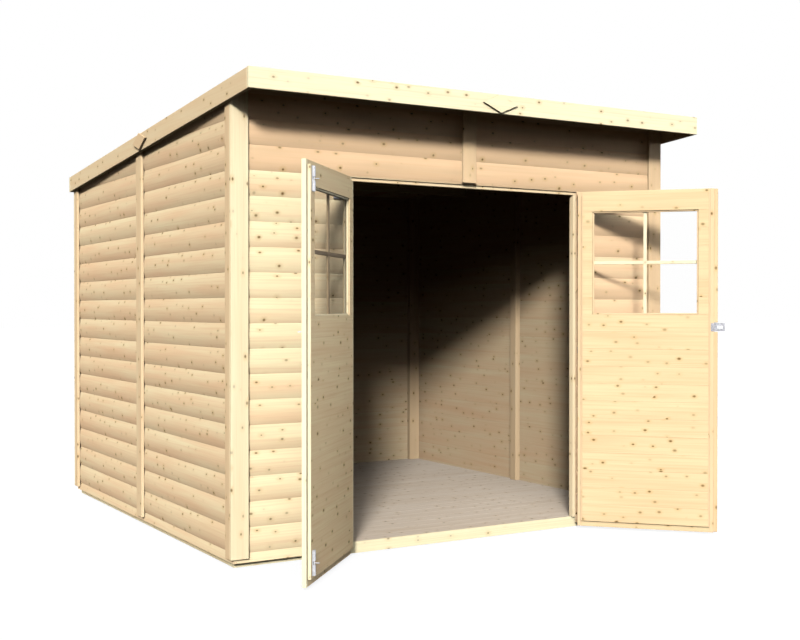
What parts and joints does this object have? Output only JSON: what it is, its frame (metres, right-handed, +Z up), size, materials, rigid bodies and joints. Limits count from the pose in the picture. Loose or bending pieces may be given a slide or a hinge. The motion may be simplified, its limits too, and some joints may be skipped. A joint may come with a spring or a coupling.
{
  "type": "wooden garden shed",
  "caption": "Wooden garden shed with a low pent roof, half-log wall panels with corner trim, a boarded floor, fascias with lozenge plates, and glazed double doors that swing open.",
  "frame": {"origin": "on the ground, in the middle of the base", "axes": "+X to the right along the front, +Y into the depth, +Z up; the doors are in the front, at -Y"},
  "size_m": [2.552, 3.0473, 2.125],
  "materials": {
    "wall_boards": "planed untreated spruce",
    "trim_boards": "planed untreated spruce",
    "door_boards": "planed untreated spruce",
    "floor_boards": "planed untreated spruce, worn",
    "base_timber": "sawn spruce",
    "roof_felt": "bitumen felt with mineral grit",
    "window_glass": "clear",
    "galvanised_steel": "galvanised"
  },
  "bodies": {
    "shed": {"back_wall_batten": "trim_boards", "back_wall_left": "wall_boards", "back_wall_post": "trim_boards", "back_wall_right": "wall_boards", "base_beam_front": "base_timber", "base_beam_rear": "base_timber", "base_joists": "base_timber", "door_head": "trim_boards", "door_jamb_left": "trim_boards", "door_jamb_right": "trim_boards", "fascia_plates": "trim_boards", "floor": "floor_boards", "front_fascia": "trim_boards", "front_left_corner_trim": "trim_boards", "front_right_corner_trim": "trim_boards", "front_wall_batten": "trim_boards", "front_wall_left": "wall_boards", "front_wall_over_door": "wall_boards", "front_wall_right": "wall_boards", "hinge_pins_left": "galvanised_steel", "hinge_pins_right": "galvanised_steel", "left_fascia": "trim_boards", "left_wall_batten": "trim_boards", "left_wall_front": "wall_boards", "left_wall_posts": "trim_boards", "left_wall_rear": "wall_boards", "rear_fascia": "trim_boards", "rear_left_corner_trim": "trim_boards", "rear_right_corner_trim": "trim_boards", "right_fascia": "trim_boards", "right_wall_batten": "trim_boards", "right_wall_front": "wall_boards", "right_wall_posts": "trim_boards", "right_wall_rear": "wall_boards", "roof_deck": "trim_boards", "roof_felt": "roof_felt", "roof_purlins": "trim_boards"},
    "left_door": {"left_door_boards": "door_boards", "left_door_bolts": "galvanised_steel", "left_door_glass": "window_glass", "left_door_inner_boards": "door_boards", "left_door_staple": "galvanised_steel", "left_door_straps": "galvanised_steel"},
    "right_door": {"right_door_boards": "door_boards", "right_door_cover_strip": "door_boards", "right_door_glass": "window_glass", "right_door_hasp": "galvanised_steel", "right_door_inner_boards": "door_boards", "right_door_straps": "galvanised_steel"}
  },
  "joints": [
    {"name": "left_door_swing", "type": "hinge", "parent": "shed", "child": "left_door", "pos_m": [-0.676, -1.238, 0.9], "axis": [0, 0, -1], "range_deg": [-134, 34]},
    {"name": "right_door_swing", "type": "hinge", "parent": "shed", "child": "right_door", "pos_m": [0.676, -1.238, 0.9], "axis": [0, 0, 1], "range_deg": [-133, 35]}
  ]
}
